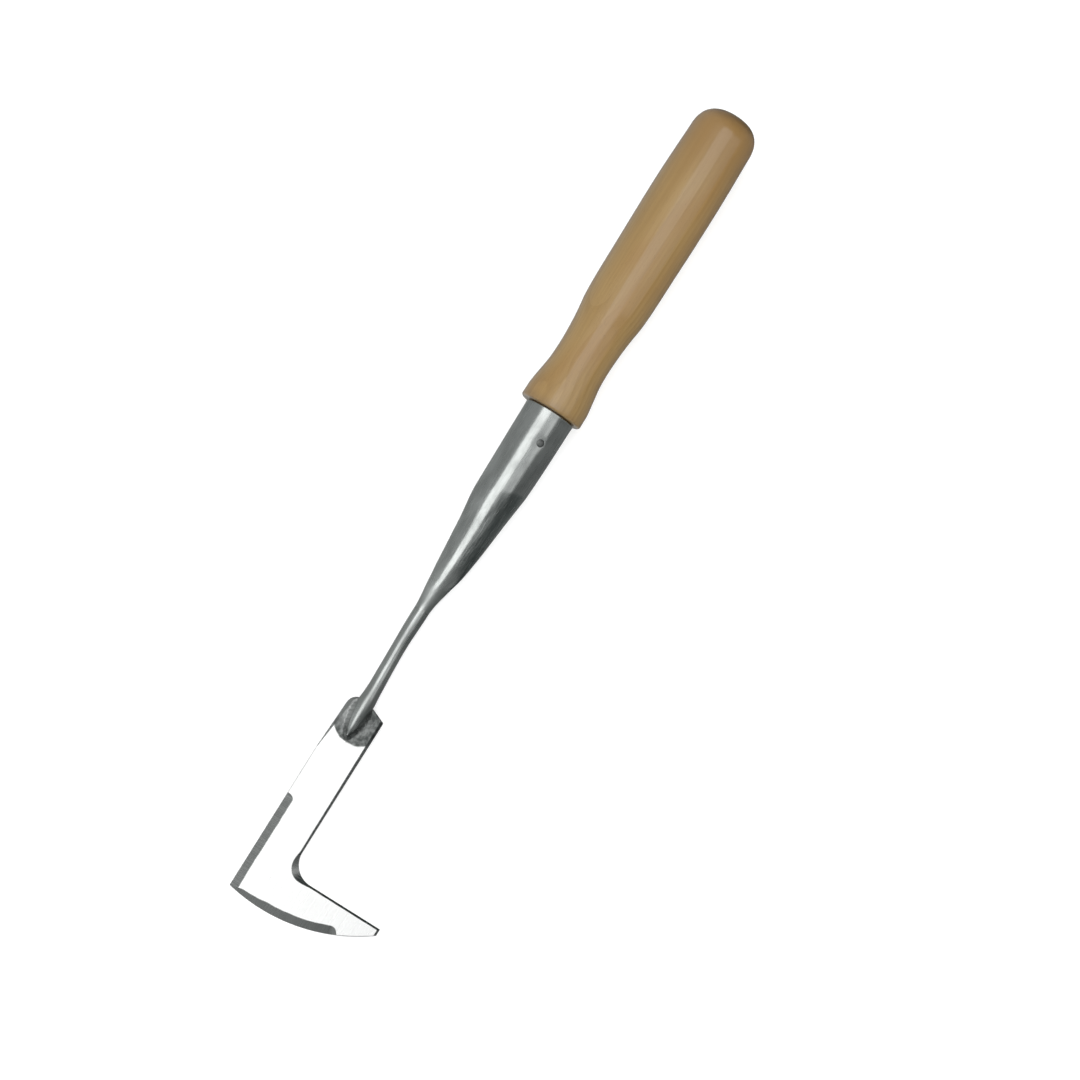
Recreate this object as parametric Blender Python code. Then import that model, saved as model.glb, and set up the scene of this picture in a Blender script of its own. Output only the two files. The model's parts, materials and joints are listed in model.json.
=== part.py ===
"""L-bladed hand scraper ("hive tool"): turned wooden handle, tapered steel socket, thin
round shank and a flat L-shaped blade with a narrow curved foot.

Metres, +Z up. The tool is modelled along its own axis: x = 0 is the joint between the
handle and the socket, +X runs up the handle, and the blade's foot points to -Y. It is then
laid down on a surface, where it rests on the handle's collar and on the blade's lower end.
"""

import math

import bmesh
import bpy
from mathutils import Vector

# Clearance left between pieces that touch
GAP = 0.0003

# Handle: crown, grip and the tenon inside the socket
HANDLE_TOP = 0.1356
CROWN_START = 0.1232
CROWN_RADIUS = 0.01318
CROWN_POWER = 2.6
CROWN_STEPS = 9
GRIP_OUTLINE = (
    (0.1232, 0.01318),
    (0.1000, 0.01370),
    (0.0660, 0.01340),
    (0.0530, 0.01320),
    (0.0460, 0.01285),
    (0.0395, 0.01200),
    (0.0325, 0.01140),
    (0.0250, 0.01115),
    (0.0180, 0.01140),
    (0.0115, 0.01230),
    (0.0060, 0.01300),
    (0.0022, 0.01305),
)
GRIP_STEPS = 22
HANDLE_RIM = 0.0012
HANDLE_RIM_TURNS = (30.0, 60.0, 90.0)
TENON_END = -0.0400
TENON_CHAMFER = 0.0010
TENON_STEPS = 7
HANDLE_SEGMENTS = 40

# Socket: a tapered tube, closed down onto the shank at its small end
SOCKET_MOUTH = -GAP
SOCKET_END = -0.0785
SOCKET_WALL = 0.0012
SOCKET_OUTLINE = (
    (0.0000, 0.01035),
    (-0.0030, 0.01022),
    (-0.0150, 0.01010),
    (-0.0360, 0.00966),
    (-0.0385, 0.00947),
    (-0.0410, 0.00920),
    (-0.0460, 0.00860),
    (-0.0520, 0.00795),
    (-0.0590, 0.00732),
    (-0.0660, 0.00660),
    (-0.0730, 0.00578),
    (-0.0785, 0.00480),
)
SOCKET_SEGMENTS = 40

# The line where the tube starts to taper runs askew: further down on the side away from the foot
CREASE_PLACE = -0.0385
CREASE_SLANT = 0.36
CREASE_REACH = 0.0190

# Pin through the socket's wall into the tenon
PIN_PLACE = -0.0132
PIN_TURN = math.radians(18.0)
PIN_RADIUS = 0.0015
PIN_DEPTH = 0.0080
PIN_SUNK = 0.0003
PIN_DOME = 0.0002
PIN_DOME_RIM = 0.4
PIN_BORE_OVERCUT = 0.002
PIN_SEGMENTS = 16

# Shank: a round bar whose lower end is forged to a half-round tongue
SHANK_START = -0.0690
SHANK_OUTLINE = (
    (-0.0690, 0.00285),
    (-0.0860, 0.00288),
    (-0.0905, 0.00310),
    (-0.0980, 0.00302),
    (-0.1080, 0.00280),
    (-0.1180, 0.00288),
    (-0.1270, 0.00308),
    (-0.1320, 0.00345),
    (-0.1380, 0.00290),
    (-0.1430, 0.00200),
    (-0.1465, 0.00070),
)
TONGUE_START = -0.1255
TONGUE_FLAT = -0.1306
TONGUE_END = -0.1465
TONGUE_TIP_HEIGHT = 0.0008
SHANK_STEPS = (12, 3, 8)
SHANK_SEGMENTS = 20

# Sideways run of the socket's and shank's centre line (positive is away from the foot)
CENTRE_LINE = (
    (0.0000, -0.00030),
    (-0.0360, -0.00030),
    (-0.0500, -0.00010),
    (-0.0660, 0.00005),
    (-0.0740, 0.00030),
    (-0.0810, 0.00080),
    (-0.0880, 0.00110),
    (-0.1040, 0.00120),
    (-0.1170, 0.00080),
    (-0.1250, 0.00045),
    (-0.1330, 0.00030),
    (-0.1460, 0.0),
)

# Ring weld where the socket closes on the shank
RING_WELD_TOP = SOCKET_END - GAP
RING_WELD_END = -0.0880
RING_WELD_BORE = 0.00328
RING_WELD_OUTLINE = (
    (-0.0788, 0.00470),
    (-0.0815, 0.00425),
    (-0.0845, 0.00375),
    (-0.0880, 0.00350),
)
WELD_SEGMENTS = 24

# Blade: a flat plate, its front just below the tool's axis
BLADE_FRONT = -GAP
BLADE_THICKNESS = 0.0020
BLADE_BACK = BLADE_FRONT - BLADE_THICKNESS
LEG_OUTER = 0.0076
LEG_INNER = -0.0094
LEG_TOP_OUTER = (-0.1316, 0.0030)
LEG_TOP_INNER = (-0.1328, -0.0034)
OUTER_SHOULDER = (-0.1360, 0.0069)
SHOULDER_STEPS = 6
INNER_SHOULDER = (-0.1353, LEG_INNER)
FOOT_INNER_EDGE = -0.2025
FOOT_TIP = -0.0500
THROAT_RADIUS = 0.0092
THROAT_STEPS = 10
EDGE_ARC_RADIUS = 0.0710
EDGE_ARC_CENTRE = (-0.1489, -0.0069)
EDGE_GRIND_END = -0.0370
EDGE_GRIND_FULL = -0.0345
EDGE_GRIND_CORNER = -0.0085
SIDE_GRIND_TOP = -0.1788
SIDE_GRIND_RUNOUT = 0.0020
WORN_EDGE_END = -0.1560

# Bevels round the blade: width on the face, and height of the edge left below it
PLAIN_EDGE = (0.0003, 0.0017)
WORN_EDGE = (0.0018, 0.0011)
LEG_BEVEL = (0.0012, 0.0010)
SLIM_BEVEL = (0.0008, 0.0012)
THROAT_BEVEL = (0.0029, 0.0006)
TIP_BEVEL = (0.0008, 0.0011)
GROUND_BEVEL = (0.0033, 0.0004)
CORNER_BEVEL = (0.0014, 0.0006)
STRAIGHT_INSET_TURN = 0.25

# Fillet weld round the tongue, on the blade's face
FILLET_WELD_START = -0.1335
FILLET_WELD_WIDTH = 0.0017
FILLET_WELD_HEIGHT = 0.0011
FILLET_WELD_LEAN = -0.35
FILLET_WELD_GAP = 1.6 * GAP
FILLET_WELD_SIDE_STEPS = 8
FILLET_WELD_SIDE_END = TONGUE_END + 0.0008
FILLET_WELD_TIP = TONGUE_END + 0.0004
FILLET_WELD_TIP_REACH = 0.0008
FILLET_WELD_TIP_TURNS = (60.0, 90.0, 120.0)
FILLET_WELD_SECTION = ((0.0, 0.0), (1.0, 0.0), (0.9, 0.35), (0.55, 0.8), (0.0, 1.0))


def clear_scene():
    """Remove whatever the open scene holds."""
    for thing in list(bpy.data.objects):
        bpy.data.objects.remove(thing, do_unlink=True)


def material(name, colour, roughness, metallic):
    """Principled material with one base colour."""
    made = bpy.data.materials.new(name)
    made.use_nodes = True
    shader = made.node_tree.nodes["Principled BSDF"]
    shader.inputs["Base Color"].default_value = (*colour, 1.0)
    shader.inputs["Roughness"].default_value = roughness
    shader.inputs["Metallic"].default_value = metallic
    return made


def smooth_value(points, place):
    """Value at a place on the smooth curve through (place, value) points."""
    ordered = sorted(points)
    place = min(max(place, ordered[0][0]), ordered[-1][0])
    index = 0
    while index < len(ordered) - 2 and place > ordered[index + 1][0]:
        index += 1
    start, end = ordered[index], ordered[index + 1]
    span = end[0] - start[0]
    t = (place - start[0]) / span
    slope_in = curve_slope(ordered, index) * span
    slope_out = curve_slope(ordered, index + 1) * span
    blend = 3.0 * t * t - 2.0 * t * t * t
    rise = t * (1.0 - t) * (1.0 - t)
    fall = t * t * (t - 1.0)
    return start[1] * (1.0 - blend) + end[1] * blend + slope_in * rise + slope_out * fall


def curve_slope(ordered, index):
    """Slope of the smooth curve at one of its points."""
    before = ordered[max(index - 1, 0)]
    after = ordered[min(index + 1, len(ordered) - 1)]
    return (after[1] - before[1]) / (after[0] - before[0])


def spaced(start, end, steps):
    """Evenly spaced values from start to end, both included."""
    return [start + (end - start) * index / steps for index in range(steps + 1)]


def finish_object(name, shape, finish, smooth_angle=35.0):
    """Make a named object of a bmesh, smooth where its faces meet gently."""
    bmesh.ops.recalc_face_normals(shape, faces=shape.faces)
    mesh = bpy.data.meshes.new(name)
    shape.to_mesh(mesh)
    shape.free()
    mesh.shade_smooth()
    mesh.set_sharp_from_angle(angle=math.radians(smooth_angle))
    mesh.materials.append(finish)
    made = bpy.data.objects.new(name, mesh)
    bpy.context.scene.collection.objects.link(made)
    return made


def turned(name, profile, segments, finish, closed=False):
    """Spin (x, radius) points about the X axis, a flat underneath; a closed one makes a ring."""
    shape = bmesh.new()
    half_step = math.pi / segments
    aside, above = math.sin(half_step), math.cos(half_step)
    points = [shape.verts.new((x, radius * aside, radius * above)) for x, radius in profile]
    edges = [shape.edges.new(pair) for pair in zip(points, points[1:])]
    if closed:
        edges.append(shape.edges.new((points[-1], points[0])))
    bmesh.ops.spin(
        shape,
        geom=points + edges,
        cent=(0.0, 0.0, 0.0),
        axis=(1.0, 0.0, 0.0),
        angle=math.tau,
        steps=segments,
        use_merge=True,
    )
    bmesh.ops.remove_doubles(shape, verts=shape.verts, dist=0.000001)
    return finish_object(name, shape, finish)


def follow_centre_line(piece):
    """Shift a piece's cross-sections sideways onto the shared centre line."""
    for vertex in piece.data.vertices:
        vertex.co.y += smooth_value(CENTRE_LINE, vertex.co.x)


def socket_radius(x):
    """Outer radius of the socket at x."""
    return smooth_value(SOCKET_OUTLINE, x)


def crease_slide(x, y):
    """How far a point of the socket slides along the tube, so that its crease runs askew."""
    near = max(0.0, 1.0 - abs(x - CREASE_PLACE) / CREASE_REACH)
    return -CREASE_SLANT * y * near * near * (3.0 - 2.0 * near)


def slant_crease(piece):
    """Slide the socket's points along the tube."""
    for vertex in piece.data.vertices:
        vertex.co.x += crease_slide(vertex.co.x, vertex.co.y)


def shift_tenon(handle):
    """Move the tenon sideways onto the socket's centre line, and leave the handle itself."""
    for vertex in handle.data.vertices:
        if vertex.co.x < 0.5 * GAP and vertex.co.yz.length < socket_radius(0.0):
            vertex.co.y += smooth_value(CENTRE_LINE, vertex.co.x)


def tenon_radius(x):
    """Radius of the tenon, a gap smaller than the socket's inside on its narrow side."""
    narrow_place = x - crease_slide(x, -socket_radius(x))
    return socket_radius(narrow_place) - SOCKET_WALL - GAP


def handle_profile():
    """Crown, grip, rounded rim, shoulder and tenon, from the crown's centre down."""
    depth = HANDLE_TOP - CROWN_START
    power = 2.0 / CROWN_POWER
    profile = []
    for index in range(CROWN_STEPS):
        turn = 0.5 * math.pi * index / CROWN_STEPS
        radius = CROWN_RADIUS * math.sin(turn) ** power
        profile.append((CROWN_START + depth * math.cos(turn) ** power, radius))
    grip_end, grip_end_radius = GRIP_OUTLINE[-1]
    for x in spaced(CROWN_START, grip_end, GRIP_STEPS):
        profile.append((x, smooth_value(GRIP_OUTLINE, x)))
    for turn in HANDLE_RIM_TURNS:
        drop = math.radians(turn)
        x = HANDLE_RIM * (1.0 - math.sin(drop))
        profile.append((x, grip_end_radius - HANDLE_RIM * (1.0 - math.cos(drop))))
    tenon_taper = TENON_END + TENON_CHAMFER
    for x in spaced(0.0, tenon_taper, TENON_STEPS):
        profile.append((x, tenon_radius(x)))
    profile.append((TENON_END, tenon_radius(TENON_END) - TENON_CHAMFER))
    profile.append((TENON_END, 0.0))
    return profile


def socket_profile():
    """Closed section of the socket's wall: outside down, inside back up."""
    outer_places = [x for x, _ in SOCKET_OUTLINE[1:]]
    outer = [(SOCKET_MOUTH, socket_radius(SOCKET_MOUTH))]
    outer += [(x, socket_radius(x)) for x in outer_places]
    inner = [(x, socket_radius(x) - SOCKET_WALL) for x in reversed(outer_places)]
    inner.append((SOCKET_MOUTH, socket_radius(SOCKET_MOUTH) - SOCKET_WALL))
    inner[0] = (SOCKET_END, RING_WELD_BORE)
    return outer + inner


def ring_weld_profile():
    """Closed section of the weld ring round the shank."""
    inner = [(RING_WELD_END, RING_WELD_BORE), (RING_WELD_TOP, RING_WELD_BORE)]
    return list(RING_WELD_OUTLINE) + inner


def aim_pin(thing, distance):
    """Place an object on the pin's line, a distance out from the tool's axis."""
    out = Vector((0.0, -math.sin(PIN_TURN), math.cos(PIN_TURN)))
    centre = Vector((PIN_PLACE, smooth_value(CENTRE_LINE, PIN_PLACE), 0.0))
    thing.location = centre + out * distance
    thing.rotation_euler = (PIN_TURN, 0.0, 0.0)


def round_bar(name, radius, length, finish, crown=0.0):
    """Upright round bar about its own Z axis, centred, with a slightly domed top."""
    shape = bmesh.new()
    bmesh.ops.create_cone(
        shape,
        cap_ends=True,
        segments=PIN_SEGMENTS,
        radius1=radius,
        radius2=radius,
        depth=length,
    )
    if crown:
        top = [face for face in shape.faces if face.normal.z > 0.9]
        bmesh.ops.inset_region(shape, faces=top, thickness=PIN_DOME_RIM * radius)
        bmesh.ops.translate(shape, verts=top[0].verts, vec=(0.0, 0.0, crown))
    return finish_object(name, shape, finish)


def make_pin(finish):
    """Pin, its head just below the socket's surface."""
    surface = socket_radius(PIN_PLACE) - PIN_SUNK
    pin = round_bar("socket_pin", PIN_RADIUS, PIN_DEPTH, finish, crown=PIN_DOME)
    aim_pin(pin, surface - 0.5 * PIN_DEPTH)
    return pin


def make_pin_bore(finish):
    """Cutter for the pin's hole through the wall and into the tenon."""
    surface = socket_radius(PIN_PLACE)
    depth = PIN_DEPTH + PIN_SUNK + GAP
    length = depth + PIN_BORE_OVERCUT
    cutter = round_bar("pin_bore_cutter", PIN_RADIUS + GAP, length, finish)
    aim_pin(cutter, surface + 0.5 * (PIN_BORE_OVERCUT - depth))
    cutter.hide_render = True
    cutter.display_type = "WIRE"
    return cutter


def cut(piece, cutter):
    """Exact Boolean cut, left as a modifier."""
    modifier = piece.modifiers.new(cutter.name, "BOOLEAN")
    modifier.operation = "DIFFERENCE"
    modifier.solver = "EXACT"
    modifier.object = cutter


def shank_section(x):
    """Half width, height above the axis and depth below it at x."""
    radius = smooth_value(SHANK_OUTLINE, x)
    if x > TONGUE_START:
        return radius, radius, radius
    flat = min((TONGUE_START - x) / (TONGUE_START - TONGUE_FLAT), 1.0)
    fade = max((TONGUE_FLAT - x) / (TONGUE_FLAT - TONGUE_END), 0.0)
    full = smooth_value(SHANK_OUTLINE, TONGUE_FLAT)
    height = full * math.sqrt(1.0 - fade * fade) if fade else radius
    return radius, max(height, TONGUE_TIP_HEIGHT), radius * (1.0 - flat)


def loft(name, sections, finish):
    """Bridge closed rings of points into one capped body."""
    shape = bmesh.new()
    rings = [[shape.verts.new(point) for point in section] for section in sections]
    for ring, following in zip(rings, rings[1:]):
        for index, corner in enumerate(ring):
            after = (index + 1) % len(ring)
            shape.faces.new((corner, ring[after], following[after], following[index]))
    shape.faces.new(rings[0])
    shape.faces.new(rings[-1])
    return finish_object(name, shape, finish)


def make_shank(finish):
    """Round bar from inside the socket to the flat-bottomed tongue on the blade."""
    ends = (SHANK_START, TONGUE_START, TONGUE_FLAT, TONGUE_END)
    places = [SHANK_START]
    for start, end, steps in zip(ends, ends[1:], SHANK_STEPS):
        places += spaced(start, end, steps)[1:]
    sections = []
    for x in places:
        width, height, depth = shank_section(x)
        ring = []
        for index in range(SHANK_SEGMENTS):
            turn = math.tau * index / SHANK_SEGMENTS
            rise = math.sin(turn)
            z = rise * (height if rise > 0.0 else depth)
            y = smooth_value(CENTRE_LINE, x) + width * math.cos(turn)
            ring.append((x, y, z))
        sections.append(ring)
    return loft("shank", sections, finish)


def run_line(start, end, steps, bevel_start, bevel_end):
    """Straight stretch of the blade's outline with its bevel at each point."""
    return run_curve(
        lambda t: (start[0] + (end[0] - start[0]) * t, start[1] + (end[1] - start[1]) * t),
        lambda t: mix_bevels(bevel_start, bevel_end, t),
        steps,
    )


def run_curve(place, bevel, steps):
    """Stretch of outline from a function of t for the place and one for the bevel."""
    return [(place(t), bevel(t)) for t in spaced(0.0, 1.0, steps)]


def mix_bevels(first, second, share):
    """Bevel between two bevels."""
    return tuple(a + (b - a) * share for a, b in zip(first, second))


def arc_point(centre, radius, turn):
    """Point on a circle in the blade's plane, turned from -X toward -Y."""
    return (centre[0] - radius * math.cos(turn), centre[1] - radius * math.sin(turn))


def edge_arc_turn(y):
    """Turn on the curved cutting edge at which it reaches y."""
    return math.asin((EDGE_ARC_CENTRE[1] - y) / EDGE_ARC_RADIUS)


def throat_run():
    """Inside corner between the leg and the foot, with its bevel widest in the middle."""
    centre = (FOOT_INNER_EDGE + THROAT_RADIUS, LEG_INNER - THROAT_RADIUS)
    return run_curve(
        lambda t: arc_point(centre, THROAT_RADIUS, -0.5 * math.pi * (1.0 - t)),
        lambda t: mix_bevels(SLIM_BEVEL, THROAT_BEVEL, math.sin(math.pi * t)),
        THROAT_STEPS,
    )


def cutting_edge_run(y_start, y_end, steps, bevel_start, bevel_end):
    """Stretch of the curved cutting edge with its bevel at each point."""
    start = edge_arc_turn(y_start)
    end = edge_arc_turn(y_end)
    return run_curve(
        lambda t: arc_point(EDGE_ARC_CENTRE, EDGE_ARC_RADIUS, start + (end - start) * t),
        lambda t: mix_bevels(bevel_start, bevel_end, t),
        steps,
    )


def shoulder_run():
    """Rounded outer shoulder at the top of the leg."""
    low, high = Vector(OUTER_SHOULDER), Vector(LEG_TOP_OUTER)
    return run_curve(
        lambda t: (
            low.x + (high.x - low.x) * math.sin(0.5 * math.pi * t),
            high.y + (low.y - high.y) * math.cos(0.5 * math.pi * t),
        ),
        lambda t: mix_bevels(WORN_EDGE, PLAIN_EDGE, t),
        SHOULDER_STEPS,
    )


def blade_runs():
    """Outline of the blade as stretches that meet at its corners."""
    throat_start = (FOOT_INNER_EDGE + THROAT_RADIUS, LEG_INNER)
    throat_end = (FOOT_INNER_EDGE, LEG_INNER - THROAT_RADIUS)
    tip_inner = (FOOT_INNER_EDGE, FOOT_TIP)
    tip_outer = arc_point(EDGE_ARC_CENTRE, EDGE_ARC_RADIUS, edge_arc_turn(FOOT_TIP))
    outer_corner = arc_point(EDGE_ARC_CENTRE, EDGE_ARC_RADIUS, edge_arc_turn(LEG_OUTER))
    grind_top = (SIDE_GRIND_TOP, LEG_OUTER)
    grind_end = (SIDE_GRIND_TOP + SIDE_GRIND_RUNOUT, LEG_OUTER)
    worn_end = (WORN_EDGE_END, LEG_OUTER)
    ground, plain = GROUND_BEVEL, PLAIN_EDGE
    return [
        run_line(LEG_TOP_OUTER, LEG_TOP_INNER, 2, plain, plain),
        run_line(LEG_TOP_INNER, INNER_SHOULDER, 2, plain, plain),
        run_line(INNER_SHOULDER, throat_start, 10, LEG_BEVEL, SLIM_BEVEL),
        throat_run(),
        run_line(throat_end, tip_inner, 6, SLIM_BEVEL, TIP_BEVEL),
        run_line(tip_inner, tip_outer, 1, TIP_BEVEL, TIP_BEVEL),
        cutting_edge_run(FOOT_TIP, EDGE_GRIND_END, 3, plain, plain),
        cutting_edge_run(EDGE_GRIND_END, EDGE_GRIND_FULL, 1, plain, ground),
        cutting_edge_run(EDGE_GRIND_FULL, EDGE_GRIND_CORNER, 6, ground, ground),
        cutting_edge_run(EDGE_GRIND_CORNER, LEG_OUTER, 3, ground, CORNER_BEVEL),
        run_line(outer_corner, grind_top, 8, ground, ground),
        run_line(grind_top, grind_end, 2, ground, plain),
        run_line(grind_end, worn_end, 3, plain, plain),
        run_line(worn_end, OUTER_SHOULDER, 4, plain, WORN_EDGE),
        shoulder_run(),
    ]


def outline_corners(runs):
    """Corners in order: place, bevel width before, bevel width after, edge height."""
    corners = []
    for index, run in enumerate(runs):
        before = runs[index - 1][-1]
        (place, (width, height)) = run[0]
        (_, (width_before, height_before)) = before
        corners.append((place, width_before, width, min(height, height_before)))
        for place, (width, height) in run[1:-1]:
            corners.append((place, width, width, height))
    return corners


def outward(start, end):
    """Unit normal of an outline edge, on its left, outside the clockwise outline."""
    along = (Vector(end) - Vector(start)).normalized()
    return Vector((-along.y, along.x))


def inset_place(corners, index):
    """Place on the blade's face, in from a corner by the bevels that meet there."""
    place, width_before, width_after, _ = corners[index]
    before = outward(corners[index - 1][0], place)
    after = outward(place, corners[(index + 1) % len(corners)][0])
    turn = before.x * after.y - before.y * after.x
    if abs(turn) < STRAIGHT_INSET_TURN:
        middle = (before + after).normalized()
        return Vector(place) - middle * 0.5 * (width_before + width_after)
    x = (-width_before * after.y + width_after * before.y) / turn
    y = (-width_after * before.x + width_before * after.x) / turn
    return Vector(place) + Vector((x, y))


def make_blade(finish):
    """Flat plate with its bevels: back ring, edge ring and face ring."""
    corners = outline_corners(blade_runs())
    shape = bmesh.new()
    back = [shape.verts.new((*place, BLADE_BACK)) for place, _, _, _ in corners]
    edge = [shape.verts.new((*place, BLADE_BACK + height)) for place, _, _, height in corners]
    insets = [inset_place(corners, index) for index in range(len(corners))]
    face = [shape.verts.new((*inset, BLADE_FRONT)) for inset in insets]
    for low, high in ((back, edge), (edge, face)):
        for index in range(len(corners)):
            after = (index + 1) % len(corners)
            shape.faces.new((low[index], low[after], high[after], high[index]))
    shape.faces.new(back)
    shape.faces.new(face)
    return finish_object("blade", shape, finish, smooth_angle=12.0)


def tongue_side(x):
    """Half width of the tongue at x."""
    return shank_section(x)[0]


def fillet_weld_path():
    """Places along the weld with the direction away from the tongue."""
    path = []
    sides = spaced(FILLET_WELD_START, FILLET_WELD_SIDE_END, FILLET_WELD_SIDE_STEPS)
    for x in sides:
        out = Vector((FILLET_WELD_LEAN, 1.0)).normalized()
        path.append((Vector((x, tongue_side(x))), out))
    for turn in FILLET_WELD_TIP_TURNS:
        out = Vector((-math.sin(math.radians(turn)), math.cos(math.radians(turn))))
        tip = Vector((FILLET_WELD_TIP, 0.0))
        path.append((tip + out * FILLET_WELD_TIP_REACH, out))
    for x in reversed(sides):
        out = Vector((FILLET_WELD_LEAN, -1.0)).normalized()
        path.append((Vector((x, -tongue_side(x))), out))
    return path


def make_fillet_weld(finish):
    """Bead laid round the tongue, flat below and rounded toward the tongue."""
    sections = []
    for place, out in fillet_weld_path():
        near = place + out * FILLET_WELD_GAP
        centre_y = smooth_value(CENTRE_LINE, place.x)
        ring = []
        for reach, rise in FILLET_WELD_SECTION:
            spot = near + out * reach * FILLET_WELD_WIDTH
            ring.append((spot.x, spot.y + centre_y, rise * FILLET_WELD_HEIGHT))
        sections.append(ring)
    return loft("blade_weld", sections, finish)


def resting_pitch():
    """Turn about Y that brings the handle's lowest ring and the blade's end level."""
    blade_end = min(place[0] for run in blade_runs() for place, _ in run)
    to_flat = math.cos(math.pi / HANDLE_SEGMENTS)
    slopes = []
    for x, radius in handle_profile():
        if x > 0.0:
            slopes.append((-radius * to_flat - BLADE_BACK) / (x - blade_end))
    return math.atan(min(slopes))


def lay_down(pieces, cutters):
    """Parent everything to one empty, tilt it to rest and centre the tool on the origin."""
    rest = bpy.data.objects.new("tool_rest", None)
    bpy.context.scene.collection.objects.link(rest)
    rest.rotation_euler = (0.0, resting_pitch(), 0.0)
    for thing in pieces + cutters:
        thing.parent = rest
    bpy.context.view_layer.update()
    spots = [piece.matrix_world @ vertex.co for piece in pieces for vertex in piece.data.vertices]
    low = Vector([min(spot[axis] for spot in spots) for axis in range(3)])
    high = Vector([max(spot[axis] for spot in spots) for axis in range(3)])
    rest.location = (-0.5 * (low.x + high.x), -0.5 * (low.y + high.y), -low.z)


def build():
    """Make every piece of the tool."""
    clear_scene()
    wood = material("turned_beech", (0.46, 0.30, 0.15), 0.42, 0.0)
    socket_steel = material("drawn_steel", (0.50, 0.52, 0.51), 0.28, 1.0)
    shank_steel = material("bar_steel", (0.48, 0.50, 0.49), 0.32, 1.0)
    blade_steel = material("ground_steel", (0.78, 0.78, 0.77), 0.24, 1.0)
    pin_steel = material("pin_steel", (0.20, 0.21, 0.21), 0.45, 1.0)
    weld_steel = material("weld_steel", (0.24, 0.25, 0.24), 0.50, 1.0)

    bore = make_pin_bore(pin_steel)
    handle = turned("handle", handle_profile(), HANDLE_SEGMENTS, wood)
    shift_tenon(handle)
    cut(handle, bore)
    socket = turned("socket", socket_profile(), SOCKET_SEGMENTS, socket_steel, closed=True)
    slant_crease(socket)
    follow_centre_line(socket)
    cut(socket, bore)
    pin = make_pin(pin_steel)
    shank = make_shank(shank_steel)
    ring_weld = turned("socket_weld", ring_weld_profile(), WELD_SEGMENTS, weld_steel, closed=True)
    follow_centre_line(ring_weld)
    blade = make_blade(blade_steel)
    fillet_weld = make_fillet_weld(weld_steel)
    lay_down([handle, socket, pin, shank, ring_weld, blade, fillet_weld], [bore])


build()
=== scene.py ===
"""Looks of the L-bladed hand scraper: turned wooden handle, tapered steel socket, thin round
shank and a ground L-shaped blade, lying on a plain pale floor.

Metres. Every piece is modelled in the tool's own frame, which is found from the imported
record: x = 0 where the handle meets the socket, +X up the handle, the blade's foot toward
-Y, and +Z off the blade's face.
"""

import json
import math

import bmesh
import bpy
from mathutils import Matrix, Vector, noise


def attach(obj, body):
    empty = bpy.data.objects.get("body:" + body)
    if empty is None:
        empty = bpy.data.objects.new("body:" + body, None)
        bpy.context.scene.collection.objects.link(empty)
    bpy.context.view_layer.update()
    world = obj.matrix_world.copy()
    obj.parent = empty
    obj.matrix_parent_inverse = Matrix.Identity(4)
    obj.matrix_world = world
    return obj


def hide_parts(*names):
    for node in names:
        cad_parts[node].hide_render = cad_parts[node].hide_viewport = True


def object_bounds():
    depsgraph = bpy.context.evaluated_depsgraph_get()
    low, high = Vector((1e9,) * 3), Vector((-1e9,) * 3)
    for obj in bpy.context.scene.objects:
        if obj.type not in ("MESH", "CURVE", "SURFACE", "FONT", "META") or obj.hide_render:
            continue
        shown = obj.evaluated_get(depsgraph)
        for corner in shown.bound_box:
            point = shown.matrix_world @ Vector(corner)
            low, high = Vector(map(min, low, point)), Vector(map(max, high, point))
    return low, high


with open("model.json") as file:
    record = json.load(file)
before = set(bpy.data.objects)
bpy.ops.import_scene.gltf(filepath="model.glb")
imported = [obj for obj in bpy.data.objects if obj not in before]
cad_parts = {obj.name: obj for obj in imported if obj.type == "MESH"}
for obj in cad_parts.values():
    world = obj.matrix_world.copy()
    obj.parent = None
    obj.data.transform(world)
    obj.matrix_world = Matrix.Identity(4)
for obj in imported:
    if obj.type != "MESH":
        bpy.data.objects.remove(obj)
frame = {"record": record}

CAD_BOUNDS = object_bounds()

# Where the record's mount on the blade's back lies in the tool's frame
BACK_MOUNT = Vector((-0.165, -0.001, -0.0023))

# Faces that meet at less than this angle (degrees) are shaded as one surface
PIECE_SMOOTH_ANGLE = 30.0

# Handle
HANDLE_TOP = 0.1356
CROWN_START = 0.1232
CROWN_RADIUS = 0.01318
CROWN_POWER = 2.6
GRIP_OUTLINE = (
    (0.1232, 0.01318),
    (0.1000, 0.01370),
    (0.0660, 0.01340),
    (0.0530, 0.01320),
    (0.0460, 0.01285),
    (0.0395, 0.01200),
    (0.0325, 0.01140),
    (0.0250, 0.01115),
    (0.0180, 0.01140),
    (0.0115, 0.01230),
    (0.0060, 0.01300),
    (0.0022, 0.01305),
)
HANDLE_RIM = 0.0012
HANDLE_SEGMENTS = 128
CROWN_STEPS = 28
CROWN_RIM_TURN = math.radians(6.0)
GRIP_STEPS = 140
HANDLE_RIM_STEPS = 8
WOBBLE_START = 0.004
# The tenon: its shoulder, and how far down and how close the tube is that its end fits
TENON_END = -0.0400
TENON_RADIUS = 0.0085
TENON_SHOULDER = 0.0010
TENON_TAPER_START = -0.0200
TENON_TAPER_DROP = 0.0002
TENON_FIT_BELOW = 0.0045
TENON_CLEARANCE = 0.0004
LATHE_MARK_RADIUS = 0.0013
LATHE_MARK_DEPTH = 0.0007
LATHE_MARK_TIP = 0.00005
LATHE_MARK_RINGS = (0.0004, 0.0008, 0.0011, LATHE_MARK_RADIUS, 0.0016)
# How far the lacquer's normal leans: it moves the highlight off the handle's middle, toward +Y
COAT_LEAN = (0.0, 0.18, 0.0)

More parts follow.
